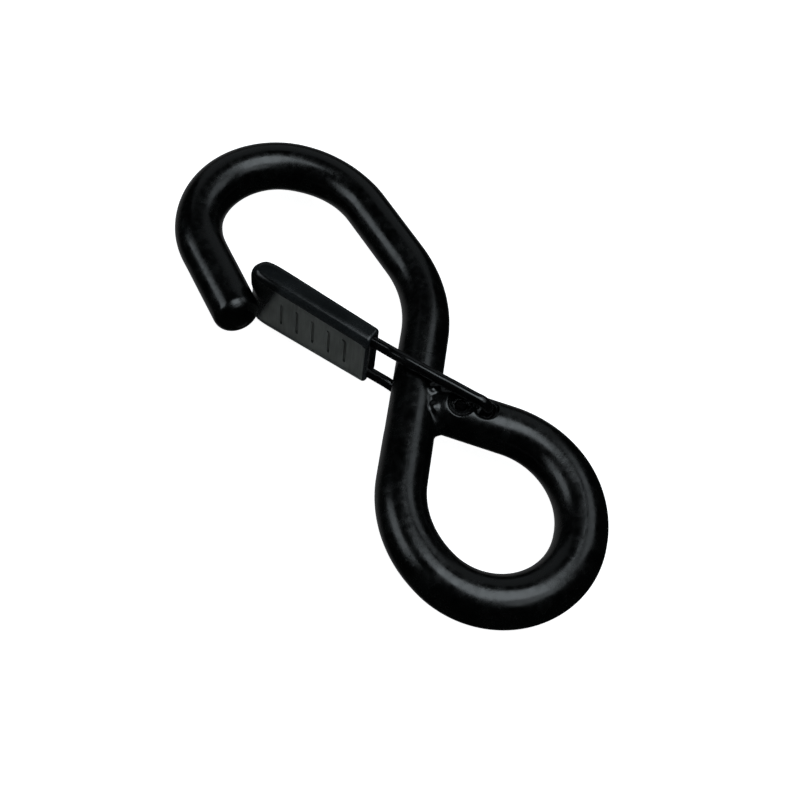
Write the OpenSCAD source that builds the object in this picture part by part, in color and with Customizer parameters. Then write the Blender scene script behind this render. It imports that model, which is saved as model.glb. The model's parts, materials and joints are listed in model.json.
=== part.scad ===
// Safety chain hook: an S-hook bent from round bar, closed at one end by a welded eye and
// at the other by a sprung wire gate with a moulded grip sleeve.
// Millimetres. The bend plane is Z = 0. The origin is the centre of the eye's round end,
// +Y runs along the hook towards the bow, and the gate hinges about +Z.

/* [Bar] */
// Diameter of the round bar, on its straight runs
bar_d = 11; // [10.5:0.1:11.5]
// How much wider the bar is where it is bent
bend_swell = 0.1; // [0.06:0.02:0.2]
// Radius of the eye, to the bar's centre line
eye_r = 18; // [17.5:0.1:18.5]
// Radius of the bar end's rounded edge at the hook tip
tip_edge_r = 1.6; // [0.8:0.1:2.5]

/* [Pivot] */
// Thickness left between the pockets that are pressed into both sides at each pivot
pocket_web = 6.8; // [6:0.1:7.6]
// Diameter of a pocket
pocket_d = 6; // [5.6:0.1:6.4]
// Diameter of the step in a pocket's floor
step_d = 4.4; // [4:0.1:4.8]
// Radial running clearance of a wire end in its hole
pivot_gap = 0.08; // [0.05:0.01:0.1]

/* [Gate wire] */
// Diameter of the spring wire, on its straight runs
wire_d = 2.6; // [2.3:0.1:2.7]
// How much wider the wire is where it is bent
wire_swell = 0.04; // [0.04:0.01:0.08]
// Gap between each wire leg and the side of the bar
leg_gap = 0.15; // [0.1:0.05:0.4]
// Bend radius of the wire ends, to the wire's centre line
pin_bend_r = 2.2; // [2:0.1:2.4]

/* [Grip sleeve] */
// Length of the sleeve along the gate
sleeve_len = 33; // [32.5:0.1:33.2]
// Width of the sleeve across the bend plane, at its nose
sleeve_w = 18.8; // [18.4:0.1:19.4]
// Thickness of the sleeve in the bend plane, at its nose
sleeve_t = 5.8; // [5.6:0.1:6]
// Width and thickness of the sleeve's inner end, as a share of the nose's
sleeve_taper = 0.9; // [0.88:0.01:0.94]
// Number of grip grooves
groove_count = 5; // [3:1:6]
// Distance between grip grooves
groove_pitch = 4.42; // [4.2:0.02:4.5]
// Width of a grip groove
groove_w = 0.5; // [0.3:0.1:0.8]
// Depth of a grip groove
groove_depth = 0.5; // [0.3:0.1:0.6]

/* [Hidden] */
$fn = 32;

bar_r = bar_d / 2;
wire_r = wire_d / 2;

// How far a straight run reaches into the bends at its ends, in the bar and in the wire
bar_lap = 0.3;
wire_lap = 0.2;

// The bar leaves the eye's round end at these two angles about the eye's centre.
eye_start = 191;
eye_end = 315;
// A run is [0, length] when straight and [radius, turn in degrees] when bent;
// a positive turn is to the left. Two bends always have a straight run between them.
// From the eye's start: up the shank, round the bend, up the back and over the bow.
short_run = [0, 0.6];
shank_runs = [short_run, [25, -50], [0, 37.5], [32, 40], [0, 17.5], [25.5, 46], short_run, [19, 129]];
tip_len = 21.6;
// From the eye's end: round the top of the eye. The butt then runs across to the shank.
eye_runs = [short_run, [21.5, 86]];
butt_len = 15.7;

// The two pivots, measured along and across the eye's butt end, and their pockets' step.
step_depth = 0.6;
front_pivot = [5.7, -0.8];
rear_pivot = [11.4, -1];
pivot_d = wire_d + 2 * pivot_gap;

// The weld is a tapered collar where the butt end meets the shank.
weld_neck_r = bar_r + 0.2;
weld_foot_r = bar_r + 3.2;
weld_len = 2.6;
weld_half_w = 5;

// The gate's own frame: origin at the front pivot, +X along the closed gate towards the
// tip, and +Y outwards, away from the bow.
gate_heading = 117.3;
// Each leg lies beside the bar. It leans outwards from its pivot as far as a slight kink.
leg_z = bar_r + leg_gap + wire_r;
leg_kink_x = 21;
leg_kink_r = 40;
wire_y = 0.2;
wire_nose_x = 57;
nose_bend_r = 3;
pin_end_z = -2.6;

// The sleeve tapers from its nose to its inner end, and its outer face leans a little.
sleeve_x = 29.2;
nose_out_y = 2;
inner_out_y = 2.65;
sleeve_edge_r = 1.8;
// Room round the wire in the sleeve, and round the bar's tip in its seat at the nose.
sleeve_clear = 0.05;
tip_seat_clear = 0.3;
// The first groove's place along the gate, and how far the grooves reach across it.
groove_x = 35.1;
groove_z = [-5, 3.2];

// Where a run ends, as [x, y, heading], when it starts at p.
function run_end(p, run) =
    let (r = run[0], a = run[1])
    r == 0
        ? [p[0] + a * cos(p[2]), p[1] + a * sin(p[2]), p[2]]
        : let (s = sign(a), cx = p[0] - s * r * sin(p[2]), cy = p[1] + s * r * cos(p[2]))
          [cx + s * r * sin(p[2] + a), cy - s * r * cos(p[2] + a), p[2] + a];
function runs_end(p, runs, i = 0) =
    i == len(runs) ? p : runs_end(run_end(p, runs[i]), runs, i + 1);
// Point q of the frame whose origin and heading are p, seen in the model's frame.
function from_frame(p, q) =
    [p[0] + q[0] * cos(p[2]) - q[1] * sin(p[2]), p[1] + q[0] * sin(p[2]) + q[1] * cos(p[2])];
// The same point the other way round: q of the model's frame, seen from p.
function to_frame(p, q) =
    let (d = [q[0] - p[0], q[1] - p[1]])
    [d[0] * cos(p[2]) + d[1] * sin(p[2]), d[1] * cos(p[2]) - d[0] * sin(p[2])];

shank_start = [eye_r * cos(eye_start), eye_r * sin(eye_start), eye_start - 90];
tip_start = runs_end(shank_start, shank_runs);
eye_close = [eye_r * cos(eye_end), eye_r * sin(eye_end), eye_end + 90];
butt_start = runs_end(eye_close, eye_runs);
shank_axis = runs_end(shank_start, [shank_runs[0], shank_runs[1]]);

front_xy = from_frame(butt_start, front_pivot);
rear_xy = from_frame(butt_start, rear_pivot);
gate_frame = [front_xy[0], front_xy[1], gate_heading];
rear_pin = to_frame(gate_frame, rear_xy);

// Puts its children in the frame p = [x, y, heading].
module at(p) translate([p[0], p[1], 0]) rotate(p[2]) children();

// A straight round rod along +X.
module straight_rod(d, length) rotate([0, 90, 0]) cylinder(d = d, h = length);

// A bent round rod that starts along +X.
module bent_rod(d, r, turn)
    mirror([0, turn < 0 ? 1 : 0, 0])
        translate([0, r, 0]) rotate(-90)
            rotate_extrude(angle = abs(turn)) translate([r, 0]) circle(d = d);

// A chain of runs, starting along +X. Bends are wider by swell, and a straight run laps into them.
module rod(d, swell, lap, runs, i = 0) {
    if (i < len(runs)) {
        if (runs[i][0] == 0) translate([-lap, 0, 0]) straight_rod(d, runs[i][1] + 2 * lap);
        else bent_rod(d + swell, runs[i][0], runs[i][1]);
        at(run_end([0, 0, 0], runs[i])) rod(d, swell, lap, runs, i + 1);
    }
}

// The hook's tip: a straight end whose flat face has a rounded edge.
module rod_tip(d, length, edge_r)
    rotate([0, 90, 0]) rotate_extrude() {
        square([d / 2, length - edge_r]);
        square([d / 2 - edge_r, length]);
        intersection() {
            translate([d / 2 - edge_r, length - edge_r]) circle(edge_r);
            square([d / 2, length]);
        }
    }

// The stepped round pockets at the two pivots, on the +Z side of the butt end.
module pivot_pockets()
    for (p = [front_pivot, rear_pivot]) translate([p[0], p[1], pocket_web / 2]) {
        cylinder(d = pocket_d, h = bar_d);
        translate([0, 0, -step_depth]) cylinder(d = step_d, h = bar_d);
    }

module hook_bar() color([0.07, 0.07, 0.08]) difference() {
    union() {
        rotate(eye_start) rotate_extrude(angle = eye_end - eye_start)
            translate([eye_r, 0]) circle(d = bar_d + bend_swell);
        at(shank_start) rod(bar_d, bend_swell, bar_lap, shank_runs);
        at(tip_start) translate([-bar_lap, 0, 0]) rod_tip(bar_d, tip_len + bar_lap, tip_edge_r);
        at(eye_close) rod(bar_d, bend_swell, bar_lap, eye_runs);
        at(butt_start) translate([-bar_lap, 0, 0]) straight_rod(bar_d, butt_len + bar_lap);
    }
    at(butt_start) {
        pivot_pockets();
        mirror([0, 0, 1]) pivot_pockets();
        for (p = [front_pivot, rear_pivot])
            translate([p[0], p[1], -bar_d]) cylinder(d = pivot_d, h = 2 * bar_d);
    }
}

// The weld stops at the shank's middle and is left out where the two bars already are.
module eye_weld() color([0.09, 0.09, 0.10]) difference() {
    intersection() {
        at(butt_start) translate([butt_len - weld_len, 0, 0]) rotate([0, 90, 0])
            cylinder(r1 = weld_neck_r, r2 = weld_foot_r, h = weld_len + bar_r);
        at(butt_start) translate([0, -bar_d, -weld_half_w]) cube([bar_d * 3, 2 * bar_d, 2 * weld_half_w]);
    }
    at(shank_axis) {
        straight_rod(bar_d, shank_runs[2][1]);
        translate([0, 0, -bar_d]) cube([shank_runs[2][1], bar_d * 2, bar_d * 2]);
    }
    at(butt_start) straight_rod(bar_d, butt_len);
    at(butt_start) {
        pivot_pockets();
        mirror([0, 0, 1]) pivot_pockets();
    }
}

// One leg with its inward end, drawn on the +Z side; pin is its pivot in the gate's frame.
module wire_leg(d, pin) {
    rise = wire_y - pin[1];
    turn = atan2(rise, leg_kink_x - pin[0]);
    trim = leg_kink_r * tan(abs(turn) / 2);
    slope = norm([leg_kink_x - pin[0], rise]) - pin_bend_r - trim;
    level = wire_nose_x - nose_bend_r - leg_kink_x - trim;
    at([pin[0], pin[1], turn]) {
        translate([0, 0, pin_end_z]) cylinder(d = d, h = leg_z - pin_bend_r - pin_end_z + wire_lap);
        translate([0, 0, leg_z - pin_bend_r]) rotate([90, -90, 0])
            bent_rod(d + wire_swell, pin_bend_r, -90);
        translate([pin_bend_r, 0, leg_z])
            rod(d, wire_swell, wire_lap, [[0, slope], [leg_kink_r, -turn], [0, level]]);
    }
    translate([wire_nose_x - nose_bend_r, wire_y, leg_z]) rotate([90, 0, 0])
        bent_rod(d + wire_swell, nose_bend_r, -90);
}

// The whole gate wire, in the gate's frame.
module wire_shape(d) {
    cross_z = leg_z - nose_bend_r + wire_lap;
    wire_leg(d, [0, 0]);
    mirror([0, 0, 1]) wire_leg(d, rear_pin);
    translate([wire_nose_x, wire_y, -cross_z]) cylinder(d = d, h = 2 * cross_z);
}

module gate_wire() color([0.05, 0.05, 0.06]) at(gate_frame) wire_shape(wire_d);

// The sleeve seen along Z: sides that taper inwards, and a half-round nose.
module sleeve_side_view() {
    nose_x = sleeve_x + sleeve_len - sleeve_t / 2;
    polygon([[sleeve_x, inner_out_y], [sleeve_x, inner_out_y - sleeve_taper * sleeve_t],
             [nose_x, nose_out_y - sleeve_t], [nose_x, nose_out_y]]);
    translate([nose_x, nose_out_y - sleeve_t / 2]) circle(d = sleeve_t);
}

// The sleeve seen along Y: its two edges taper inwards.
module sleeve_face_view() {
    end_x = sleeve_x + sleeve_len;
    half_w = sleeve_w / 2;
    polygon([[sleeve_x, -sleeve_taper * half_w], [end_x, -half_w],
             [end_x, half_w], [sleeve_x, sleeve_taper * half_w]]);
}

// The sleeve seen along its length: a rectangle with rounded corners.
module sleeve_end_view() {
    e = sleeve_edge_r;
    t = inner_out_y - nose_out_y + sleeve_t;
    square([sleeve_w - 2 * e, t], center = true);
    square([sleeve_w, t - 2 * e], center = true);
    for (x = [-1, 1], y = [-1, 1])
        translate([x * (sleeve_w / 2 - e), y * (t / 2 - e)]) circle(e);
}

module groove_row() {
    lean = atan2(inner_out_y - nose_out_y, sleeve_len);
    translate([sleeve_x, inner_out_y, 0]) rotate(-lean)
        for (i = [0 : groove_count - 1])
            translate([groove_x - sleeve_x + i * groove_pitch - groove_w / 2, -groove_depth, groove_z[0]])
                cube([groove_w, sleeve_t, groove_z[1] - groove_z[0]]);
}

module gate_sleeve() color([0.17, 0.18, 0.18]) difference() {
    at(gate_frame) difference() {
        intersection() {
            translate([0, 0, -sleeve_w]) linear_extrude(2 * sleeve_w) sleeve_side_view();
            translate([0, sleeve_w, 0]) rotate([90, 0, 0])
                linear_extrude(2 * sleeve_w) sleeve_face_view();
            translate([0, (inner_out_y + nose_out_y - sleeve_t) / 2, 0]) rotate([0, 90, 0])
                linear_extrude(sleeve_x + 2 * sleeve_len) sleeve_end_view();
        }
        wire_shape(wire_d + 2 * sleeve_clear);
        groove_row();
    }
    at(tip_start) straight_rod(bar_d + 2 * tip_seat_clear, tip_len + bar_d);
}

hook_bar();
eye_weld();
gate_wire();
gate_sleeve();
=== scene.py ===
"""Looks of a safety chain hook: a bent, welded, powder-coated bar with a sprung wire gate
and its moulded grip sleeve. Lengths are written in millimetres and built in metres."""
import json
import math
import random

import bpy
import numpy as np
from mathutils import Matrix, Vector


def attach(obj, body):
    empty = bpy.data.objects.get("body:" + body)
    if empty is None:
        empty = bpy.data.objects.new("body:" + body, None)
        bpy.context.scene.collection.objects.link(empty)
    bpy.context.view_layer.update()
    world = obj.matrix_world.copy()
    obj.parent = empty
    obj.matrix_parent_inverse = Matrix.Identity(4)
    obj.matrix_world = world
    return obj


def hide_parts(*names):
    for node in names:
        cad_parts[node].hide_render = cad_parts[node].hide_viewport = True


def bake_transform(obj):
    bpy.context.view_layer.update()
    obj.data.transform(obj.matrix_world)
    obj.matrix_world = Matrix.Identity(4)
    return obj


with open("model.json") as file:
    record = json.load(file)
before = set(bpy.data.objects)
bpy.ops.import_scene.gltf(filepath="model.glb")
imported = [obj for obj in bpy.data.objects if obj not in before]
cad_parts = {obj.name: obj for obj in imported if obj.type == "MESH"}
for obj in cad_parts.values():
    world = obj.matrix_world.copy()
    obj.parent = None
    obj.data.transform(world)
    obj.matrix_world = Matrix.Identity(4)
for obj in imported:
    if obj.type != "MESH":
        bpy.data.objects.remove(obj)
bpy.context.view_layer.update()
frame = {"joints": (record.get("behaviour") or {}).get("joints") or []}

MM = 0.001
SEED = 7

# ---------------------------------------------------------------- the bar's path
# The eye's round bottom is centred on the origin and runs between two polar angles.
BAR_R = 5.5
EYE_R = 18.0
EYE_START, EYE_END = 191.0, 315.0
# A run is (0, length) when straight and (radius, turn in degrees) when bent.
EYE_TOP = [(0, 0.6), (21.5, 86)]
BUTT_LEN = 15.7
SHANK_FOOT = [(0, 0.6), (25, -50)]
SHANK_LEN = 37.5
BOW = [(32, 40), (0, 17.5), (25.5, 46), (0, 0.6), (19, 129)]
TIP_LEN = 21.6

# ---------------------------------------------------------------- the gate's place
# The gate's frame: x from the hinge towards the nose, y outwards, z up.
HINGE = next(j for j in frame["joints"] if j["name"] == "gate_hinge")
GATE_HEADING = 117.3
WIRE_R = 1.3
# The pivots' places, along the butt and across it.
FRONT_PIVOT = (5.7, -0.8)
REAR_PIVOT = (11.4, -1.0)


def turned(x, y, degrees):
    """The vector (x, y), turned anticlockwise."""
    a = math.radians(degrees)
    return x * math.cos(a) - y * math.sin(a), x * math.sin(a) + y * math.cos(a)


def run_end(place, run):
    """Where a run ends, as (x, y, heading)."""
    x, y, heading = place
    radius, amount = run
    if radius == 0:
        dx, dy = turned(amount, 0, heading)
        return x + dx, y + dy, heading
    side = math.copysign(radius, amount)
    cx, cy = turned(0, side, heading)
    ex, ey = turned(0, -side, heading + amount)
    return x + cx + ex, y + cy + ey, heading + amount


def runs_end(place, runs):
    """Where a chain of runs ends."""
    for run in runs:
        place = run_end(place, run)
    return place


def trace(place, runs, step):
    """Points, headings and distances along a chain of runs, about step apart."""
    rows = [(*place, 0.0)]
    for radius, amount in runs:
        length = amount if radius == 0 else abs(math.radians(amount)) * radius
        count = max(1, round(length / step))
        for i in range(1, count + 1):
            part = amount * i / count
            rows.append((*run_end(place, (radius, part)), rows[-i][3] + length * i / count))
        place = run_end(place, (radius, amount))
    table = np.array(rows)
    return table[:, :2], table[:, 2], table[:, 3]


def eased(knots, s):
    """The values of (place, value) knots, joined by smooth steps and read at s."""
    places, values = np.array(knots, float).T
    i = np.clip(np.searchsorted(places, s) - 1, 0, len(places) - 2)
    t = np.clip((s - places[i]) / (places[i + 1] - places[i]), 0, 1)
    return values[i] + (values[i + 1] - values[i]) * t * t * (3 - 2 * t)


def local(place, point):
    """A point of the model's frame, seen from place."""
    return turned(point[0] - place[0], point[1] - place[1], -place[2])


def placed(place, points):
    """Points of place's frame, n x 3, in the model's frame."""
    a = math.radians(place[2])
    spin = np.array([[math.cos(a), -math.sin(a), 0], [math.sin(a), math.cos(a), 0], [0, 0, 1]])
    return np.asarray(points, float) @ spin.T + np.array([place[0], place[1], 0])


def on_eye(angle, heading_offset):
    """The place on the eye's round bottom at a polar angle."""
    x, y = turned(EYE_R, 0, angle)
    return x, y, angle + heading_offset


# Where the butt, the shank and the straight tip limb begin, the gate's hinge, and the
# rear pivot in the gate's frame.
BUTT = runs_end(on_eye(EYE_END, 90), EYE_TOP)
SHANK = runs_end(on_eye(EYE_START, -90), SHANK_FOOT)
TIP = runs_end(SHANK, [(0, SHANK_LEN), *BOW])
GATE = (HINGE["pos_m"][0] / MM, HINGE["pos_m"][1] / MM, GATE_HEADING)
REAR_PIN = local(GATE, placed(BUTT, [[*REAR_PIVOT, 0]])[0][:2])


# ---------------------------------------------------------------- mesh builders
def new_mesh(name, points, faces, smooth_below):
    """A mesh object from millimetre points, smooth where it bends less than smooth_below."""
    mesh = bpy.data.meshes.new(name)
    mesh.from_pydata((np.asarray(points) * MM).tolist(), [], [list(f) for f in faces])
    mesh.validate()
    mesh.update()
    mesh.shade_smooth()
    mesh.set_sharp_from_angle(angle=math.radians(smooth_below))
    piece = bpy.data.objects.new(name, mesh)
    bpy.context.scene.collection.objects.link(piece)
    return piece


def joined(name, *skins, smooth_below=40):
    """One mesh object from several skins of points and faces."""
    points, faces, count = [], [], 0
    for p, f in skins:
        points.append(p)
        faces += [[i + count for i in face] for face in np.asarray(f, dtype=object).tolist()]
        count += len(p)
    return new_mesh(name, np.vstack(points), faces, smooth_below)


def ringed(rings):
    """Points and faces of a closed skin over equal rings, with a point at each end."""
    rings = np.asarray(rings)
    count, sides = rings.shape[:2]
    points = np.vstack([rings.reshape(-1, 3), rings[0].mean(0), rings[-1].mean(0)])
    faces = []
    for i in range(count - 1):
        here, there = i * sides, (i + 1) * sides
        for k in range(sides):
            m = (k + 1) % sides
            faces.append((here + k, here + m, there + m, there + k))
    first, last = count * sides, count * sides + 1
    final = (count - 1) * sides
    for k in range(sides):
        m = (k + 1) % sides
        faces.append((m, k, first))
        faces.append((final + k, final + m, last))
    return points, faces


def flat_rod(centres, headings, radii, sides=96):
    """A rod along a path in the bend plane."""
    a = np.radians(headings)
    left = np.stack([-np.sin(a), np.cos(a), np.zeros_like(a)], 1)[:, None, :]
    turn = np.linspace(0, 2 * math.pi, sides, endpoint=False)[None, :, None]
    around = np.cos(turn) * left + np.sin(turn) * np.array([0, 0, 1.0])
    middle = np.c_[centres, np.zeros(len(centres))]
    return ringed(middle[:, None, :] + around * np.asarray(radii)[:, None, None])


def space_rod(path, radii, sides=32):
    """A rod along any smooth path, its rings turned as little as possible."""
    path = np.asarray(path, float)
    ahead = np.gradient(path, axis=0)
    ahead /= np.linalg.norm(ahead, axis=1)[:, None]
    # No path here starts along this direction, so it gives the first ring a side.
    side = np.cross(ahead[0], [0.3, 1.0, 0.2])
    rings = []
    turn = np.linspace(0, 2 * math.pi, sides, endpoint=False)[:, None]
    for centre, tangent, radius in zip(path, ahead, radii):
        side = side - tangent * side.dot(tangent)
        side /= np.linalg.norm(side)
        other = np.cross(tangent, side)
        rings.append(centre + radius * (np.cos(turn) * side + np.sin(turn) * other))
    return ringed(rings)


# A surface net's points are pulled PULLS times along the slope, which is read over NUDGE
# either way. Where the slope is slight, its square counts as LEAST_STEEPNESS.
PULLS = 4
NUDGE = 0.02
LEAST_STEEPNESS = 0.2


def net_crossings(grid, value, cell):
    """For each axis: the grid edges that the surface crosses, where, and which way round."""
    found = []
    for axis in range(3):
        near = tuple(slice(0, -1) if d == axis else slice(None) for d in range(3))
        far = tuple(slice(1, None) if d == axis else slice(None) for d in range(3))
        a, b = value[near], value[far]
        cross = (a < 0) != (b < 0)
        point = grid[near].copy()
        point[..., axis] += np.where(cross, a / np.where(cross, a - b, 1), 0) * cell
        found.append((cross, point, a < 0))
    return found


def net_points(crossings, cells):
    """One point in each cell that the surface passes, and every cell's point number."""
    total, hits = np.zeros((*cells, 3)), np.zeros(cells)
    for axis, (cross, point, _) in enumerate(crossings):
        one, two = (axis + 1) % 3, (axis + 2) % 3
        for i, k in ((0, 0), (0, 1), (1, 0), (1, 1)):
            part = [slice(None)] * 3
            part[one] = slice(i, i + cells[one])
            part[two] = slice(k, k + cells[two])
            part = tuple(part)
            total += np.where(cross[part][..., None], point[part], 0)
            hits += cross[part]
    used = hits > 0
    number = np.full(cells, -1)
    number[used] = np.arange(used.sum())
    return total[used] / hits[used][:, None], number


def net_faces(crossings, number):
    """A quad round each crossed edge that lies inside the grid, all facing outwards."""
    cells = number.shape
    faces = []
    for axis, (cross, _, inward) in enumerate(crossings):
        one, two = (axis + 1) % 3, (axis + 2) % 3
        at = np.argwhere(cross)
        i, k = at[:, one], at[:, two]
        at = at[(i > 0) & (k > 0) & (i < cells[one]) & (k < cells[two])]
        corners = []
        for i, k in ((1, 1), (0, 1), (0, 0), (1, 0)):
            corner = at.copy()
            corner[:, one] -= i
            corner[:, two] -= k
            corners.append(number[tuple(corner.T)])
        quad = np.stack(corners, 1)
        flip = ~inward[tuple(at.T)]
        quad[flip] = quad[flip][:, ::-1]
        faces.append(quad)
    return np.vstack(faces)


def pulled(distance, points, furthest):
    """The points moved along the distance's slope, to where it is 0."""
    away = distance(points)
    nudges = np.eye(3) * NUDGE
    rises = [distance(points + n) - distance(points - n) for n in nudges]
    slope = np.stack(rises, 1) / (2 * NUDGE)
    steepness = np.maximum((slope ** 2).sum(1), LEAST_STEEPNESS)
    move = -(away / steepness)[:, None] * slope
    return points + np.clip(move, -furthest, furthest)


def surface_net(distance, low, high, cell):
    """The surface where distance is 0, as quads, its points pulled exactly onto it."""
    axes = [np.arange(a, b + cell, cell) for a, b in zip(low, high)]
    grid = np.stack(np.meshgrid(*axes, indexing="ij"), -1)
    value = distance(grid.reshape(-1, 3)).reshape(grid.shape[:3])
    crossings = net_crossings(grid, value, cell)
    points, number = net_points(crossings, np.array(value.shape) - 1)
    for _ in range(PULLS):
        points = pulled(distance, points, cell / 2)
    return points, net_faces(crossings, number)


def soft_min(a, b, width):
    """a and b together, blended where they differ by less than width."""
    h = np.maximum(width - np.abs(a - b), 0) / width
    return np.minimum(a, b) - h * h * width / 4


def soft_max(a, b, width):
    """The inside of both a and b, blended where they differ by less than width."""
    return -soft_min(-a, -b, width)


def round_min(a, b, r):
    """a and b together, with a fillet of radius r where they meet."""
    inside = np.hypot(np.maximum(r - a, 0), np.maximum(r - b, 0))
    return np.maximum(r, np.minimum(a, b)) - inside


def round_max(a, b, r):
    """The inside of both a and b, their shared edge rounded to radius r."""
    outside = np.hypot(np.maximum(a + r, 0), np.maximum(b + r, 0))
    return outside + np.minimum(np.maximum(a + r, b + r), 0) - r


# ---------------------------------------------------------------- the bar's two long sides
# The joint block is the stretch of butt end and shank round the weld. The two long sides
# end at its seams, and reach SEAM_LAP past them.
SEAM_ON_BUTT = 0.6
SEAMS_ON_SHANK = (10.5, 30.0)
SEAM_LAP = 0.3
RING_STEP = 0.75
# The bar's radius along each side, as (distance, radius): it swells a little in the bends.
EYE_RADII = ((0, 5.5), (3, 5.5), (22, 5.68), (45, 5.72), (75, 5.62), (100, 5.56), (118, 5.5),
             (150, 5.5))
BOW_RADII = ((0, 5.5), (8, 5.5), (28, 5.3), (52, 5.32), (72, 5.74), (88, 5.84), (104, 5.58),
             (116, 5.42), (132, 5.36))
# The tip's edge is rounded, and inside it the end rises by TIP_DOME to its middle.
TIP_EDGE_R = 3.5
TIP_DOME = 0.45
TIP_EDGE_ANGLES = (7, 90, 15)
TIP_DOME_SHARES = (0.85, 0.7, 0.5, 0.3, 0.12)


def eye_side():
    """From the joint block round the eye to the shank below the joint block."""
    x, y, heading = run_end(BUTT, (0, SEAM_ON_BUTT + SEAM_LAP))
    back = [(r, -a if r else a) for r, a in reversed(EYE_TOP)]
    runs = [(0, SEAM_ON_BUTT + SEAM_LAP), *back, (EYE_R, EYE_START - EYE_END), *SHANK_FOOT,
            (0, SEAMS_ON_SHANK[0] + SEAM_LAP)]
    centres, headings, s = trace((x, y, heading + 180), runs, RING_STEP)
    return flat_rod(centres, headings, eased(EYE_RADII, s))


def tip_rings(radius):
    """How far ahead the rings of the rounded tip lie, and their radii."""
    edge = np.radians(np.linspace(*TIP_EDGE_ANGLES))
    share = np.array(TIP_DOME_SHARES)
    ahead = np.r_[TIP_EDGE_R * np.sin(edge), TIP_EDGE_R + TIP_DOME * (1 - share ** 2)]
    radii = np.r_[radius - TIP_EDGE_R * (1 - np.cos(edge)), (radius - TIP_EDGE_R) * share]
    return ahead, radii


def bow_side():
    """From the shank above the joint block over the bow to the rounded tip."""
    start = run_end(SHANK, (0, SEAMS_ON_SHANK[1] - SEAM_LAP))
    straight = SHANK_LEN - SEAMS_ON_SHANK[1] + SEAM_LAP
    runs = [(0, straight), *BOW, (0, TIP_LEN - TIP_EDGE_R)]
    centres, headings, s = trace(start, runs, RING_STEP)
    radii = eased(BOW_RADII, s)
    (x, y), heading = centres[-1], headings[-1]
    ahead, tip_radii = tip_rings(radii[-1])
    dx, dy = turned(1, 0, heading)
    centres = np.vstack([centres, np.c_[x + dx * ahead, y + dy * ahead]])
    headings = np.r_[headings, np.full(len(ahead), heading)]
    return flat_rod(centres, headings, np.r_[radii, tip_radii])


# ---------------------------------------------------------------- butt, weld and pivots
# The butt's frame: u along the butt towards the shank, v across it, z up.
SHANK_TURN = SHANK[2] - BUTT[2]
SHANK_AT = local(BUTT, SHANK[:2])
# From BEVEL_U on the butt narrows, and it ends BUTT_SINK past its length, in the shank.
BEVEL_U, BEVEL = 14.2, 0.28
BUTT_SINK = 3.5
# The fillet's radius is FILLET_R, and grows by up to FILLET_MORE within FILLET_Z of z = 0.
FILLET_R, FILLET_MORE, FILLET_Z = 0.7, 2.1, 4.5
# The weld bead is a ring of drops, set back from the seam by WELD_BACK and kept WELD_FACE
# below the bar's top and bottom. Their radii go in waves, and are a little off by chance,
# as their places are.
WELD_DROPS = 44
WELD_RING_R = 0.84 * BAR_R
DROP_R, DROP_WAVE, DROP_WAVES, DROP_CHANCE = 1.15, 0.2, 5, 0.15
WELD_BACK, WELD_WANDER = 0.35, 0.12
WELD_FACE = 0.1
DROP_BLEND, BEAD_BLEND = 0.6, 0.9
# Each pocket is a shallow round seat with a narrower, deeper well: (u, v, radius) of both.
POCKETS = (((5.95, -0.85, 2.75), (5.8, -0.8, 2.0)), ((11.3, -0.15, 2.95), (11.4, -0.6, 2.2)))
SEAT_Z, WELL_Z = 4.4, 2.4
POCKET_CORNER_R = 0.2
SEAT_BLEND, WELL_BLEND, HOLE_BLEND = 0.5, 0.35, 0.2
HOLE_R = WIRE_R + 0.08
# The block's grid: its cell, and how far it goes past the shank's foot, along V and Z.
BLOCK_CELL = 0.2
BLOCK_REACH, BLOCK_V, BLOCK_Z = 16, 12.0, 6.6
FAR = 9.0


def weld_drops():
    """The weld bead's ripples: centres and radii of drops along the seam of butt and shank."""
    rng = random.Random(SEED)
    across = turned(0, 1, SHANK_TURN)
    reach = SHANK_AT[0] * across[0] + SHANK_AT[1] * across[1]
    drops = []
    for i in range(WELD_DROPS):
        a = 2 * math.pi * i / WELD_DROPS
        size = DROP_R + DROP_WAVE * math.sin(DROP_WAVES * a + 1)
        size += rng.uniform(-DROP_CHANCE, DROP_CHANCE)
        v, z = WELD_RING_R * math.cos(a), WELD_RING_R * math.sin(a)
        if abs(z) + size > BAR_R - WELD_FACE:
            continue
        u = (reach - math.sqrt(BAR_R ** 2 - z * z) - v * across[1]) / across[0]
        drops.append((u - WELD_BACK + rng.uniform(-WELD_WANDER, WELD_WANDER), v, z, size))
    return drops


def on_shank(u, v):
    """How far along the shank's centre line a point lies, and how far beside it."""
    ex, ey = turned(1, 0, SHANK_TURN)
    along = (u - SHANK_AT[0]) * ex + (v - SHANK_AT[1]) * ey
    beside = (v - SHANK_AT[1]) * ex - (u - SHANK_AT[0]) * ey
    return along, beside


def bars_distance(u, v, z):
    """Butt and shank, with the fillet between them."""
    past = np.maximum(u - BEVEL_U, 0)
    butt = np.hypot(v, z) - BAR_R + BEVEL * past * past / (past + 1)
    butt = np.maximum(butt, u - BUTT_LEN - BUTT_SINK)
    shank = np.hypot(on_shank(u, v)[1], z) - BAR_R
    fillet = FILLET_R + FILLET_MORE * np.maximum(1 - (z / FILLET_Z) ** 2, 0)
    return round_min(butt, shank, fillet)


def bead_distance(u, v, z, drops):
    """The weld bead, its drops run together."""
    bead = np.full(len(u), FAR)
    for du, dv, dz, size in drops:
        drop = np.sqrt((u - du) ** 2 + (v - dv) ** 2 + (z - dz) ** 2) - size
        bead = soft_min(bead, drop, DROP_BLEND)
    return bead


def recess(u, v, z, disc, floor_z):
    """A round recess in both faces, its floors at floor_z either side of the middle."""
    return round_max(np.hypot(u - disc[0], v - disc[1]) - disc[2], floor_z - np.abs(z),
                     POCKET_CORNER_R)


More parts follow.
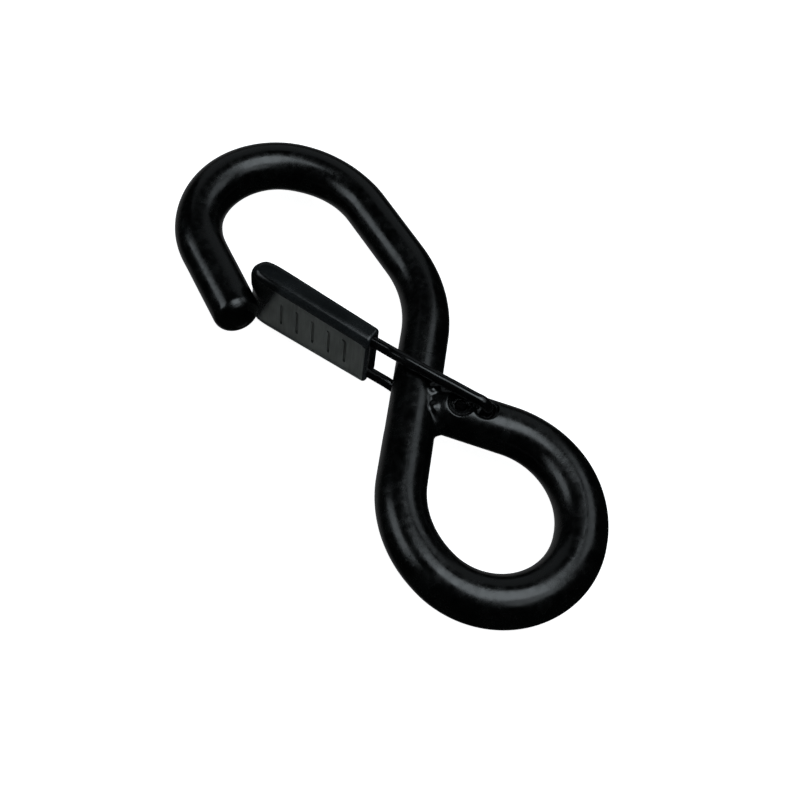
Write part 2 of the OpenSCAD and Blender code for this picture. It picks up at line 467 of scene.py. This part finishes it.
def with_pivots(shape, u, v, z):
    """The shape with the gate's two stepped pockets and holes cut into it."""
    for seat, well in POCKETS:
        shape = soft_max(shape, -recess(u, v, z, seat, SEAT_Z), SEAT_BLEND)
        shape = soft_max(shape, -recess(u, v, z, well, WELL_Z), WELL_BLEND)
    for pu, pv in (FRONT_PIVOT, REAR_PIVOT):
        shape = soft_max(shape, HOLE_R - np.hypot(u - pu, v - pv), HOLE_BLEND)
    return shape


def joint_block():
    """Butt end, shank and weld bead as one skin, with the pivot pockets and holes."""
    drops = weld_drops()

    def distance(p):
        u, v, z = p.T
        shape = soft_min(bars_distance(u, v, z), bead_distance(u, v, z, drops), BEAD_BLEND)
        shape = with_pivots(shape, u, v, z)
        along = on_shank(u, v)[0]
        ends = np.maximum(SEAMS_ON_SHANK[0] - along, along - SEAMS_ON_SHANK[1])
        return np.maximum(shape, np.maximum(ends, SEAM_ON_BUTT - u))

    low = (0.0, -BLOCK_V, -BLOCK_Z)
    high = (SHANK_AT[0] + BLOCK_REACH, BLOCK_V, BLOCK_Z)
    points, faces = surface_net(distance, low, high, BLOCK_CELL)
    return placed(BUTT, points), faces


# ---------------------------------------------------------------- gate wire
# Each leg rises out of its pivot hole, bends over and runs along its side of the bar.
PIN_END_Z = -2.6
PIN_BEND_R = 2.2
PIN_RINGS, PIN_BEND_RINGS = 24, 14
PIN_END_SHARES = (0.75, 0.93, 0.99)
LEG_Z = 6.95
LEG_Y = 0.5
LEG_STEP = 0.4
LEG_END_X = 46.0
# Over the kink, each leg drops towards the middle by LEG_DROP.
LEG_KINK = (20.0, 25.0)
LEG_DROP = 0.45
# How far each leg stands outwards at places along the gate, after its pin.
FRONT_LEG = ((3, 0.33), (9, 0.46), (13, 0.62), (20, 0.72), (25, LEG_Y))
REAR_LEG = ((9, 1.0), (20, LEG_Y + 0.1), (25, LEG_Y))
LEG_SMOOTHING = 9
WIRE_SMOOTH_BELOW = 50


def smoothed(values, width):
    """A row of values, each the weighted mean of its neighbours over width of them."""
    weights = np.hanning(width) / np.hanning(width).sum()
    return np.convolve(np.pad(values, width // 2, mode="edge"), weights, mode="valid")


def leg_path(pin, side, bows):
    """One leg from its pin's inner end into the sleeve; side is +1 or -1 for its Z."""
    z_bend = LEG_Z - PIN_BEND_R
    heading = math.atan2(bows[0][1] - pin[1], bows[0][0] - pin[0])
    c, s = math.cos(heading), math.sin(heading)
    rows = [(pin[0], pin[1], z) for z in np.linspace(PIN_END_Z, z_bend, PIN_RINGS)[:-1]]
    for a in np.radians(np.linspace(0, 90, PIN_BEND_RINGS)):
        out = PIN_BEND_R * (1 - math.cos(a))
        rows.append((pin[0] + c * out, pin[1] + s * out, z_bend + PIN_BEND_R * math.sin(a)))
    xs = np.arange(rows[-1][0] + LEG_STEP, LEG_END_X, LEG_STEP)
    knots = np.array([(rows[-1][0], rows[-1][1]), *bows, (LEG_END_X, LEG_Y)])
    ys = smoothed(np.interp(xs, knots[:, 0], knots[:, 1]), LEG_SMOOTHING)
    kink_low, kink_high = LEG_KINK
    falls = ((0, 0), (kink_low, 0), (kink_high, LEG_DROP), (LEG_END_X + 1, LEG_DROP))
    rows += list(zip(xs, ys, LEG_Z - eased(falls, xs)))
    return placed(GATE, np.array(rows) * np.array([1, 1, side]))


def leg(name, pin, side, bows):
    """One leg of the wire, its inner end a little rounded."""
    path = leg_path(pin, side, bows)
    radii = np.full(len(path), WIRE_R)
    radii[:len(PIN_END_SHARES)] = WIRE_R * np.array(PIN_END_SHARES)
    return joined(name, space_rod(path, radii), smooth_below=WIRE_SMOOTH_BELOW)


# ---------------------------------------------------------------- grip sleeve
# The sleeve is thickest (T, along Y) and widest (W, along Z) at its nose.
SLEEVE_X, SLEEVE_LEN = 29.2, 33.0
NOSE_T, NOSE_W, TAPER = 5.8, 18.8, 0.9
NOSE_X = SLEEVE_X + SLEEVE_LEN - NOSE_T / 2
NOSE_OUT_Y, INNER_OUT_Y = 2.25, 2.9
# The edge's radius grows by NOSE_SOFTER over SOFTER_LEN, from SOFTER_BACK before NOSE_X,
# the middle of the nose's round.
SLEEVE_EDGE_R, INNER_EDGE_R = 1.2, 0.8
NOSE_SOFTER, SOFTER_BACK, SOFTER_LEN = 1.7, 3, 5
# The +Z face falls away over CROWN_W towards the outer edge, by CROWN times the square. All
# of it lies TOP_DROP lower, and the nose NOSE_DROP more, over DROP_LEN from DROP_BACK.
CROWN, CROWN_W = 0.13, 2.4
TOP_DROP, NOSE_DROP, DROP_BACK, DROP_LEN = 0.12, 0.32, 8, 10
# The inner end has a recess inside a wall, from the inner face's side up to END_TOP_Y.
END_WALL, END_DEPTH, END_TOP_Y, END_BLEND = 0.85, 1.0, 1.3, 0.4
# The grooved panel is sunk into the outer face, inside a rim.
PANEL_DEPTH, PANEL_BLEND = 0.38, 0.5
PANEL_RIM, PANEL_LOW_RIM, PANEL_END_RIM = 2.3, 1.3, 1.7
# The half-round seat for the hook's tip, and the holes for the wire.
TIP_GAP, TIP_SEAT_BLEND = 0.35, 0.6
WIRE_GAP, WIRE_HOLE_LEN, WIRE_HOLE_BLEND = 0.05, 6, 0.3
# The sleeve's grid: its cell, and how far it goes along Y and Z.
SLEEVE_CELL = 0.27
SLEEVE_LOW_Y, SLEEVE_HIGH_Y, SLEEVE_Z = -5.5, 4.0, 10.2
# Each groove runs up the panel from the first to the second of GROOVE_Z, may lean, and may
# end in an arc towards the nose.
GROOVES = 5
GROOVE_X, GROOVE_PITCH = 35.1, 4.42
GROOVE_Z = (-5.0, 2.9)
GROOVE_RINGS = 24
GROOVE_LEAN = (0, 0, -0.01, -0.02, -0.03)
GROOVE_HOOK = (0.65, 0.45, 0.4, 0.35, 0)
GROOVE_HOOK_ANGLES = (15, 120, 8)
GROOVE_R, GROOVE_END_R, GROOVE_SINK = 0.39, 0.18, 0.2
GROOVED_SMOOTH_BELOW = 38


def sleeve_share(x):
    """0 at the sleeve's inner end, 1 at its nose."""
    return np.clip((x - SLEEVE_X) / SLEEVE_LEN, 0, 1)


def outer_y(x):
    """Where the sleeve's outer face lies."""
    return INNER_OUT_Y + (NOSE_OUT_Y - INNER_OUT_Y) * sleeve_share(x)


def body_distance(x, y, z, size):
    """The tapering body with its round nose, crowned +Z face and recessed inner end."""
    half_t = NOSE_T * size / 2
    side = np.hypot(np.maximum(x - NOSE_X, 0), y - (outer_y(x) - half_t)) - half_t
    face = np.abs(z) - NOSE_W * size / 2
    fall = np.maximum(y - (outer_y(x) - CROWN_W), 0)
    drop = TOP_DROP + NOSE_DROP * np.clip((x - NOSE_X + DROP_BACK) / DROP_LEN, 0, 1) ** 2
    face = face + np.where(z > 0, CROWN * fall * fall + drop, 0)
    softer = np.clip((x - NOSE_X + SOFTER_BACK) / SOFTER_LEN, 0, 1) ** 2
    recessed = np.maximum(np.maximum(side, face) + END_WALL, x - SLEEVE_X - END_DEPTH)
    recessed = np.maximum(recessed, y - END_TOP_Y)
    body = round_max(side, face, SLEEVE_EDGE_R + NOSE_SOFTER * softer)
    body = round_max(body, SLEEVE_X - x, INNER_EDGE_R)
    return soft_max(body, -recessed, END_BLEND)


def panel_distance(x, y, z, size):
    """The space that the panel's recess takes out of the outer face."""
    half_w = NOSE_W * size / 2
    across = np.maximum(z - (half_w - PANEL_RIM), PANEL_LOW_RIM - (z + half_w))
    panel = np.maximum(outer_y(x) - PANEL_DEPTH - y, across)
    return np.maximum(panel, SLEEVE_X + PANEL_END_RIM - x)


def sleeve_skin():
    """The sleeve without its grooves."""
    tip_at = local(GATE, TIP[:2])
    tx, ty = turned(1, 0, TIP[2] - GATE[2])

    def distance(p):
        x, y, z = p.T
        size = TAPER + (1 - TAPER) * sleeve_share(x)
        body = body_distance(x, y, z, size)
        body = soft_max(body, -panel_distance(x, y, z, size), PANEL_BLEND)
        beside = (y - tip_at[1]) * tx - (x - tip_at[0]) * ty
        seat = np.hypot(beside, z) - (BAR_R + TIP_GAP)
        body = soft_max(body, -seat, TIP_SEAT_BLEND)
        holes = np.hypot(y - LEG_Y, np.abs(z) - (LEG_Z - LEG_DROP)) - (WIRE_R + WIRE_GAP)
        holes = np.maximum(holes, x - SLEEVE_X - WIRE_HOLE_LEN)
        return soft_max(body, -holes, WIRE_HOLE_BLEND)

    low = (SLEEVE_X - 1, SLEEVE_LOW_Y, -SLEEVE_Z)
    high = (SLEEVE_X + SLEEVE_LEN + 1, SLEEVE_HIGH_Y, SLEEVE_Z)
    points, faces = surface_net(distance, low, high, SLEEVE_CELL)
    return placed(GATE, points), faces


def groove_skin(i):
    """The cutter of one groove: a thin rod sunk in the panel's face."""
    x = GROOVE_X + i * GROOVE_PITCH
    y = outer_y(x) - PANEL_DEPTH - GROOVE_SINK
    low_z, high_z = GROOVE_Z
    lean, hook = GROOVE_LEAN[i], GROOVE_HOOK[i]
    rows = [(x + lean * (z - low_z), y, z) for z in np.linspace(low_z, high_z, GROOVE_RINGS)]
    top_x = rows[-1][0]
    for a in np.radians(np.linspace(*GROOVE_HOOK_ANGLES) if hook else []):
        rows.append((top_x + hook * (1 - math.cos(a)), y, high_z + hook * math.sin(a)))
    path = placed(GATE, rows)
    radii = np.full(len(path), GROOVE_R)
    radii[0] = radii[-1] = GROOVE_END_R
    return space_rod(path, radii, sides=16)


def cut(piece, cutter):
    """Takes the cutter's volume out of the piece, for good."""
    modifier = piece.modifiers.new("cut", "BOOLEAN")
    modifier.operation = "DIFFERENCE"
    modifier.solver = "EXACT"
    modifier.object = cutter
    bpy.context.view_layer.update()
    depsgraph = bpy.context.evaluated_depsgraph_get()
    mesh = bpy.data.meshes.new_from_object(piece.evaluated_get(depsgraph))
    piece.modifiers.clear()
    piece.data = mesh
    mesh.shade_smooth()
    mesh.set_sharp_from_angle(angle=math.radians(GROOVED_SMOOTH_BELOW))
    bpy.data.objects.remove(cutter)


# ---------------------------------------------------------------- materials
COAT_DARK, COAT_LIGHT = (0.0002, 0.0003, 0.0003), (0.0009, 0.0012, 0.0011)
COAT_RUBBED, RUBBED_SHARE = (0.02, 0.021, 0.023), 0.12
WIRE_DARK, WIRE_LIGHT = (0.0006, 0.0006, 0.0007), (0.0022, 0.0023, 0.0025)
RIM_DARK, RIM_LIGHT = (0.0055, 0.0066, 0.0071), (0.0092, 0.0112, 0.0122)
# The panel's lighter colour is partly its own matt texture and partly painted light: a painted
# reflection of the pale floor, which the sleeve's gloss doesn't show.
PANEL_DARK, PANEL_LIGHT = (0.0340, 0.0383, 0.0358), (0.0520, 0.0582, 0.0540)
PANEL_ROUGHER = 0.25
# Painted shade: the outer face beside the hook's tip is darkened where the tip shades it, past
# a line across the gate that leans with Z.
TIP_SHADE_X, TIP_SHADE_LEAN = 56.2, 0.36
TIP_SHADE_EDGE, TIP_SHADE_SHARE = 0.9, 0.95
TIP_SHADE_COLOUR = (0.0020, 0.0025, 0.0025)
# A noise stretched this much has long streaks along the gate, or along Z.
ALONG_GATE, ALONG_Z = (0.06, 1, 1), (1, 1, 0.06)


class Paint:
    """A principled material whose nodes are added by short calls."""

    def __init__(self, name, roughness, specular, turn=0.0):
        self.material = bpy.data.materials.new(name)
        self.material.use_nodes = True
        self.tree = self.material.node_tree
        self.shader = self.tree.nodes["Principled BSDF"]
        self.shader.inputs["Roughness"].default_value = roughness
        self.shader.inputs["Specular IOR Level"].default_value = specular
        self.turn = turn

    def node(self, kind, **values):
        """A new node with these properties."""
        made = self.tree.nodes.new(kind)
        for key, value in values.items():
            setattr(made, key, value)
        return made

    def link(self, a, b):
        self.tree.links.new(a, b)

    def beyond(self, direction, low, high):
        """0 where the gate frame's point lies less than low mm along direction, 1 past high."""
        coordinates = self.node("ShaderNodeTexCoord")
        mapping = self.node("ShaderNodeMapping", vector_type="TEXTURE")
        mapping.inputs["Location"].default_value = (GATE[0] * MM, GATE[1] * MM, 0)
        mapping.inputs["Rotation"].default_value = (0, 0, math.radians(GATE[2]))
        mapping.inputs["Scale"].default_value = (MM, MM, MM)
        along = self.node("ShaderNodeVectorMath", operation="DOT_PRODUCT")
        along.inputs[1].default_value = direction
        self.link(coordinates.outputs["Object"], mapping.inputs["Vector"])
        self.link(mapping.outputs["Vector"], along.inputs[0])
        return self.spread(along.outputs["Value"], low, high)

    def place(self, stretch):
        """Object coordinates in metres, turned with the piece and stretched."""
        coordinates = self.node("ShaderNodeTexCoord")
        mapping = self.node("ShaderNodeMapping", vector_type="TEXTURE")
        mapping.inputs["Rotation"].default_value = (0, 0, math.radians(self.turn))
        mapping.inputs["Scale"].default_value = [1 / s for s in stretch]
        self.link(coordinates.outputs["Object"], mapping.inputs["Vector"])
        return mapping.outputs["Vector"]

    def noise(self, size_mm, detail=3.0, rough=0.55, stretch=(1, 1, 1)):
        """Soft noise from 0 to 1, its blotches about size_mm across."""
        made = self.node("ShaderNodeTexNoise")
        made.inputs["Scale"].default_value = 1 / (size_mm * MM)
        made.inputs["Detail"].default_value = detail
        made.inputs["Roughness"].default_value = rough
        self.link(self.place(stretch), made.inputs["Vector"])
        return made.outputs["Fac"]

    def spread(self, value, low, high, out_low=0.0, out_high=1.0):
        """The value's range from low to high, spread smoothly from out_low to out_high."""
        made = self.node("ShaderNodeMapRange", interpolation_type="SMOOTHSTEP")
        made.inputs["From Min"].default_value = low
        made.inputs["From Max"].default_value = high
        made.inputs["To Min"].default_value = out_low
        made.inputs["To Max"].default_value = out_high
        self.link(value, made.inputs["Value"])
        return made.outputs["Result"]

    def maths(self, operation, a, b):
        """An operation on two values, each a number or a node's output."""
        made = self.node("ShaderNodeMath", operation=operation)
        for value, socket in ((a, made.inputs[0]), (b, made.inputs[1])):
            if isinstance(value, (int, float)):
                socket.default_value = value
            else:
                self.link(value, socket)
        return made.outputs[0]

    def plus(self, a, b):
        return self.maths("ADD", a, b)

    def minus(self, a, b):
        return self.maths("SUBTRACT", a, b)

    def times(self, a, b):
        return self.maths("MULTIPLY", a, b)

    def mix(self, factor, a, b):
        """Colour a where factor is 0, b where it is 1."""
        made = self.node("ShaderNodeMix", data_type="RGBA")
        self.link(factor, made.inputs["Factor"])
        for value, socket in ((a, made.inputs["A"]), (b, made.inputs["B"])):
            if isinstance(value, tuple):
                socket.default_value = (*value, 1)
            else:
                self.link(value, socket)
        return made.outputs["Result"]

    def bumps(self, *layers):
        """Bump layers, each a (height, strength, depth in mm)."""
        normal = None
        for height, strength, depth in layers:
            made = self.node("ShaderNodeBump")
            made.inputs["Strength"].default_value = strength
            made.inputs["Distance"].default_value = depth * MM
            self.link(height, made.inputs["Height"])
            if normal:
                self.link(normal, made.inputs["Normal"])
            normal = made.outputs["Normal"]
        self.link(normal, self.shader.inputs["Normal"])

    def finish(self, colour, roughness):
        """The material, with its colour and roughness joined up."""
        self.link(colour, self.shader.inputs["Base Color"])
        self.link(roughness, self.shader.inputs["Roughness"])
        return self.material


def powder_coat():
    """Satin black powder coat: soft mottling, orange peel, scuffs and rubbed specks."""
    p = Paint("powder_coat", 0.25, 0.5)
    mottle = p.noise(5.0, detail=4.0)
    peel = p.noise(1.5, detail=2.0, rough=0.45)
    fine = p.noise(0.7, detail=2.0)
    specks = p.spread(p.noise(1.8, detail=2.0, rough=0.5), 0.62, 0.80)
    patches = p.spread(p.noise(8.0, detail=2.0), 0.54, 0.66)
    rubbed = p.times(p.times(specks, patches), RUBBED_SHARE)
    colour = p.mix(p.spread(mottle, 0.35, 0.65), COAT_DARK, COAT_LIGHT)
    colour = p.mix(rubbed, colour, COAT_RUBBED)
    rough = p.spread(mottle, 0.3, 0.7, 0.19, 0.27)
    rough = p.plus(rough, p.spread(peel, 0.3, 0.7, -0.03, 0.05))
    rough = p.plus(rough, rubbed)
    scuffs = p.times(p.spread(p.noise(1.1, rough=0.6), 0.52, 0.66), patches)
    waves = p.noise(3.2, detail=2.0)
    p.bumps((waves, 0.5, 0.07), (peel, 0.5, 0.04), (scuffs, 0.35, 0.03), (fine, 0.12, 0.004))
    return p.finish(colour, rough)


def wire_coat():
    """Spring wire under a thin glossy black coat, with faint drawing lines."""
    p = Paint("wire_coat", 0.18, 0.5, GATE_HEADING)
    lines = p.noise(0.5, rough=0.6, stretch=ALONG_GATE)
    mottle = p.noise(2.5)
    colour = p.mix(p.spread(mottle, 0.35, 0.65), WIRE_DARK, WIRE_LIGHT)
    rough = p.spread(lines, 0.3, 0.7, 0.13, 0.21)
    rough = p.plus(rough, p.spread(mottle, 0.3, 0.7, -0.02, 0.04))
    p.bumps((lines, 0.2, 0.01), (mottle, 0.2, 0.02))
    return p.finish(colour, rough)


def panel_and_tip_shade(p):
    """Masks of the grip's panel and of the painted shade beside the hook's tip, which the panel
    leaves out. The panel's mask ends over some tenths of a millimetre: at its rim, its inner
    end and its depth."""
    taper = NOSE_W * (1 - TAPER) / 2 / SLEEVE_LEN
    top = NOSE_W * TAPER / 2 - PANEL_RIM - taper * SLEEVE_X
    panel = p.beyond((taper, 0, -1), -top - 0.1, -top + 0.35)
    panel = p.times(panel, p.beyond((1, 0, 0), SLEEVE_X + 0.4, SLEEVE_X + 0.8))
    panel = p.times(panel, p.beyond((0, 1, 0), 1.0, 1.5))
    tip_shade = p.beyond((1, 0, TIP_SHADE_LEAN), TIP_SHADE_X - TIP_SHADE_EDGE, TIP_SHADE_X + TIP_SHADE_EDGE)
    tip_shade = p.times(tip_shade, p.beyond((0, 1, 0), 0.6, 1.4))
    panel = p.times(panel, p.minus(1.0, p.times(tip_shade, TIP_SHADE_SHARE)))
    return panel, tip_shade


def moulded_grip():
    """Charcoal moulded plastic: a polished rim round a finely streaked panel. The panel is
    lighter, partly for its matt texture and partly as a painted reflection of the pale floor;
    beside the hook's tip the sleeve is darkened with painted shade.
    """
    p = Paint("moulded_grip", 0.3, 0.4, GATE_HEADING)
    panel, tip_shade = panel_and_tip_shade(p)
    streaks = p.noise(0.35, rough=0.6, stretch=ALONG_Z)
    along = p.noise(0.8, rough=0.6, stretch=ALONG_GATE)
    cloud = p.noise(6.0)
    grain = p.noise(0.25, detail=2.0)
    shade = p.spread(p.plus(p.times(streaks, 0.6), p.times(cloud, 0.4)), 0.36, 0.64)
    rim_colour = p.mix(shade, RIM_DARK, RIM_LIGHT)
    # Painted shade: the sleeve is darker beside the hook's tip, where the tip shades it.
    rim_colour = p.mix(tip_shade, rim_colour, TIP_SHADE_COLOUR)
    panel_colour = p.mix(shade, PANEL_DARK, PANEL_LIGHT)
    colour = p.mix(panel, rim_colour, panel_colour)
    rough = p.spread(cloud, 0.3, 0.7, 0.19, 0.25)
    rough = p.plus(rough, p.spread(grain, 0.3, 0.7, -0.02, 0.03))
    rough = p.plus(rough, p.times(panel, PANEL_ROUGHER))
    relief = p.times(panel, streaks)
    p.bumps((relief, 0.3, 0.015), (along, 0.1, 0.01), (grain, 0.08, 0.004))
    return p.finish(colour, rough)


# ---------------------------------------------------------------- stage, light and camera
FLOOR_Z = -11.0
STAGE_R = 3.0  # metres, as are the lights' distances and sizes and the last two values
STAGE_SIDES = 64
PAPER_COLOUR = (0.85, 0.85, 0.85, 1)
PAPER_ROUGHNESS, PAPER_SPECULAR, PAPER_GLOW = 0.9, 0.1, 0.95
# A dim room with a faint glow low behind the object, which lights the grazing edges. It
# comes in between GLOW_FALLOFF's two cosines of the angle from its azimuth and elevation.
ROOM_COLOUR = (0.004, 0.0043, 0.0044, 1)
GLOW_COLOUR = (0.16, 0.163, 0.165, 1)
GLOW_TOWARDS = (80, -45)
GLOW_FALLOFF = (0.6, 0.95)
# Each light's name, azimuth, elevation, distance, width, height, watts and spin.
LIGHT_TINT = (0.86, 0.95, 1.0)
LIGHTS = (
    ("overhead", -42, 82.6, 0.7, 0.44, 0.44, 2.0, 42),
    ("overhead_near", -73, 55, 0.7, 0.42, 0.20, 0.34, 0),
    ("overhead_right", 0, 48, 0.7, 0.40, 0.25, 0.35, 0),
    ("far_left", 149, 33, 0.8, 0.44, 0.36, 1.0, 0),
    ("far_right_fill", 58, 27, 1.0, 1.2, 0.7, 0.5, 0),
)
# The camera looks at AIM, along a heading clockwise from +Y and down by the elevation.
AIM = Vector((-2.8, 34.9, 0)) * MM
VIEW_AZIMUTH, VIEW_ELEVATION, VIEW_ROLL = 39.3, 59.26, 9.7
LENS = 54.0
VIEW_DISTANCE = 0.2656
CLIP_START = 0.01


def sky_direction(azimuth, elevation):
    """A unit vector: azimuth is anticlockwise from +X."""
    a, e = math.radians(azimuth), math.radians(elevation)
    return Vector((math.cos(a) * math.cos(e), math.sin(a) * math.cos(e), math.sin(e)))


def soft_light(name, azimuth, elevation, distance, width, height, watts, spin):
    """A rectangular soft box that faces the object."""
    data = bpy.data.lights.new(name, "AREA")
    data.shape = "RECTANGLE"
    data.size, data.size_y = width, height
    data.energy = watts
    data.color = LIGHT_TINT
    light = bpy.data.objects.new(name, data)
    bpy.context.scene.collection.objects.link(light)
    away = sky_direction(azimuth, elevation)
    light.location = AIM + away * distance
    facing = away.to_track_quat("Z", "Y").to_matrix()
    light.rotation_euler = (facing @ Matrix.Rotation(math.radians(spin), 3, "Z")).to_euler()


def pale_paper():
    """Plain pale matt paper with a glow of its own, which keeps it evenly pale."""
    pale = bpy.data.materials.new("pale_paper")
    pale.use_nodes = True
    shader = pale.node_tree.nodes["Principled BSDF"]
    shader.inputs["Base Color"].default_value = PAPER_COLOUR
    shader.inputs["Roughness"].default_value = PAPER_ROUGHNESS
    shader.inputs["Specular IOR Level"].default_value = PAPER_SPECULAR
    shader.inputs["Emission Color"].default_value = (1, 1, 1, 1)
    shader.inputs["Emission Strength"].default_value = PAPER_GLOW
    return pale


def stage_mesh(name, points, faces, material):
    """A part of the stage, which doesn't show in the object's gloss."""
    mesh = bpy.data.meshes.new(name)
    mesh.from_pydata(points, [], faces)
    mesh.materials.append(material)
    piece = bpy.data.objects.new(name, mesh)
    bpy.context.scene.collection.objects.link(piece)
    piece.visible_glossy = False
    return piece


def make_stage():
    """A pale floor, and a pale wall far round it that only the camera sees."""
    z, paper, count = FLOOR_Z * MM, pale_paper(), STAGE_SIDES
    around = [turned(STAGE_R, 0, 360 * i / count) for i in range(count)]
    low = [(x, y, z) for x, y in around]
    stage_mesh("floor", low, [tuple(range(count))], paper)
    high = [(x, y, z + STAGE_R) for x, y in around]
    following = [(i, (i + 1) % count) for i in range(count)]
    sides = [(i, k, count + k, count + i) for i, k in following]
    wall = stage_mesh("backdrop", low + high, sides, paper)
    wall.visible_diffuse = False
    wall.visible_shadow = False


def make_room():
    """The world: ROOM_COLOUR all round, and GLOW_COLOUR in the direction of the glow."""
    world = bpy.data.worlds.new("room")
    world.use_nodes = True
    tree = world.node_tree
    direction = tree.nodes.new("ShaderNodeTexCoord")
    along = tree.nodes.new("ShaderNodeVectorMath")
    along.operation = "DOT_PRODUCT"
    along.inputs[1].default_value = sky_direction(*GLOW_TOWARDS)
    share = tree.nodes.new("ShaderNodeMapRange")
    share.interpolation_type = "SMOOTHSTEP"
    share.inputs["From Min"].default_value = GLOW_FALLOFF[0]
    share.inputs["From Max"].default_value = GLOW_FALLOFF[1]
    colour = tree.nodes.new("ShaderNodeMix")
    colour.data_type = "RGBA"
    colour.inputs["A"].default_value = ROOM_COLOUR
    colour.inputs["B"].default_value = GLOW_COLOUR
    tree.links.new(direction.outputs["Generated"], along.inputs[0])
    tree.links.new(along.outputs["Value"], share.inputs["Value"])
    tree.links.new(share.outputs["Result"], colour.inputs["Factor"])
    tree.links.new(colour.outputs["Result"], tree.nodes["Background"].inputs["Color"])
    bpy.context.scene.world = world


def make_camera():
    """The camera, VIEW_DISTANCE short of AIM and rolled about the line of sight."""
    data = bpy.data.cameras.new("camera")
    data.lens = LENS
    data.clip_start = CLIP_START
    camera = bpy.data.objects.new("camera", data)
    bpy.context.scene.collection.objects.link(camera)
    forward = sky_direction(90 - VIEW_AZIMUTH, -VIEW_ELEVATION)
    right = forward.cross(Vector((0, 0, 1))).normalized()
    up = right.cross(forward)
    roll = math.radians(VIEW_ROLL)
    image_right = right * math.cos(roll) + up * math.sin(roll)
    image_up = up * math.cos(roll) - right * math.sin(roll)
    turn = Matrix((image_right, image_up, -forward)).transposed()
    camera.matrix_world = Matrix.Translation(AIM - forward * VIEW_DISTANCE) @ turn.to_4x4()
    bpy.context.scene.camera = camera
    bpy.context.scene.view_settings.view_transform = "Standard"


# ---------------------------------------------------------------- put together
def dress(piece, material):
    """Gives the piece its one material."""
    piece.data.materials.clear()
    piece.data.materials.append(material)


make_camera()
make_stage()
make_room()
for light in LIGHTS:
    soft_light(*light)

bar = joined("bent_bar", eye_side(), bow_side(), joint_block())
dress(bar, powder_coat())
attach(bar, "hook")
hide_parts("hook_bar", "eye_weld")

wire_material = wire_coat()
front_leg = leg("front_leg", (0, 0), 1, FRONT_LEG)
dress(front_leg, wire_material)
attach(front_leg, "gate")
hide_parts("gate_wire")

rear_leg = leg("rear_leg", REAR_PIN, -1, REAR_LEG)
dress(rear_leg, wire_material)
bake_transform(rear_leg)
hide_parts("gate_wire")

sleeve = joined("grip_sleeve", sleeve_skin())
grooves = joined("grooves", *[groove_skin(i) for i in range(GROOVES)])
cut(sleeve, grooves)
dress(sleeve, moulded_grip())
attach(sleeve, "gate")
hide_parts("gate_sleeve")
